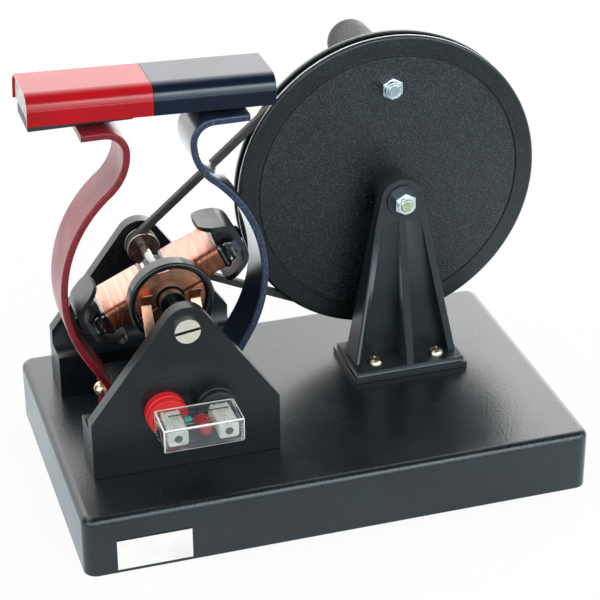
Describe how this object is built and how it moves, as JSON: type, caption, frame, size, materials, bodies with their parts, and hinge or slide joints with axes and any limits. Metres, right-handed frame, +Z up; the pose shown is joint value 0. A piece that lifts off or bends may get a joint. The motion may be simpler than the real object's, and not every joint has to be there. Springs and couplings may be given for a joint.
{
  "type": "demonstration dynamo",
  "caption": "Hand-cranked teaching dynamo: a belt from a drive wheel spins a wound armature between pole strips under a bar magnet and lights a plug-in lamp.",
  "frame": {"origin": "bottom centre of the whole object's box, on the surface it stands on", "axes": "+X to the right along the base towards the drive wheel, +Y back from the socket side to the crank side, +Z up"},
  "size_m": [0.211, 0.1474, 0.1663],
  "materials": {
    "black_plastic": "moulded black plastic, fine grain",
    "wheel_plastic": "moulded black plastic, grained face and smooth rim",
    "label": "plain blank white label",
    "zinc": "zinc plated, slightly yellow",
    "nickel": "nickel plated",
    "red_strip": "satin red paint",
    "blue_strip": "satin navy paint with a speckle",
    "red_cover": "glossy red paint",
    "blue_cover": "glossy dark navy paint",
    "magnet_core": "pale ground end",
    "magnet_pad": "dark painted steel",
    "copper": "bright copper",
    "red_socket": "gloss red",
    "black_socket": "gloss black",
    "brass": "turned brass",
    "belt": "worn black rubber",
    "shaft_steel": "turned steel",
    "core_iron": "grey iron",
    "shoe_paint": "black lacquered sheet",
    "black_gloss": "gloss black moulding",
    "white_sleeve": "white insulating sleeve",
    "grip": "grained grey-black",
    "clear_case": "polished clear acrylic",
    "white_plug": "milky white plastic",
    "red_lamp": "tinted red resin",
    "teal_bead": "teal lacquer",
    "tinned_wire": "tinned wire"
  },
  "bodies": {
    "frame": {"base": "black_plastic", "label": "label", "front_support": "black_plastic", "rear_support": "black_plastic", "foot_screws": "zinc", "front_bearing": "nickel", "rear_bearing": "nickel", "pole_strip_red": "red_strip", "pole_strip_blue": "blue_strip", "pole_block": "black_plastic", "pole_screws": "zinc", "brush_left": "copper", "brush_right": "copper", "socket_red": "red_socket", "socket_black": "black_socket", "socket_tubes": "brass", "socket_nuts": "nickel", "wheel_stand": "black_plastic", "stand_screws": "zinc", "wheel_axle": "nickel", "axle_nut": "nickel", "axle_washer": "nickel", "drive_belt": "belt"},
    "armature": {"shaft": "shaft_steel", "armature_core": "core_iron", "pole_shoes": "shoe_paint", "shoe_rivets": "shoe_paint", "coil_flanges": "black_gloss", "winding_cores": "copper", "coil_right": "copper", "coil_left": "copper", "commutator_cup": "black_gloss", "commutator_segments": "copper", "pulley": "shaft_steel", "lead_sleeve": "white_sleeve", "coil_lead": "copper"},
    "magnet": {"magnet_cover_red": "red_cover", "magnet_cover_blue": "blue_cover", "magnet_core": "magnet_core", "magnet_pads": "magnet_pad"},
    "wheel": {"drive_wheel": "wheel_plastic", "handle_bolt": "nickel", "handle_nut": "nickel"},
    "handle": {"handle_grip": "grip"},
    "indicator": {"led_case": "clear_case", "led_plugs": "white_plug", "led_pins": "nickel", "led_lamp": "red_lamp", "led_resistor": "teal_bead", "led_leads": "tinned_wire"}
  },
  "joints": [
    {"name": "wheel_spin", "type": "hinge", "parent": "frame", "child": "wheel", "pos_m": [0.04305, 0.02365, 0.097], "axis": [0, 1, 0], "continuous": true},
    {"name": "armature_spin", "type": "hinge", "parent": "frame", "child": "armature", "pos_m": [-0.05805, -0.00435, 0.083], "axis": [0, 1, 0], "continuous": true},
    {"name": "handle_spin", "type": "hinge", "parent": "wheel", "child": "handle", "pos_m": [0.04305, 0.05115, 0.139], "axis": [0, 1, 0], "continuous": true},
    {"name": "magnet_lift", "type": "slide", "parent": "frame", "child": "magnet", "axis": [0, 0, 1], "range_m": [0, 0.05]},
    {"name": "indicator_pull", "type": "slide", "parent": "frame", "child": "indicator", "axis": [0, -1, 0], "range_m": [0, 0.03]}
  ],
  "couplings": [
    {"joint": "armature_spin", "follows": "wheel_spin", "ratio": 12.396}
  ]
}
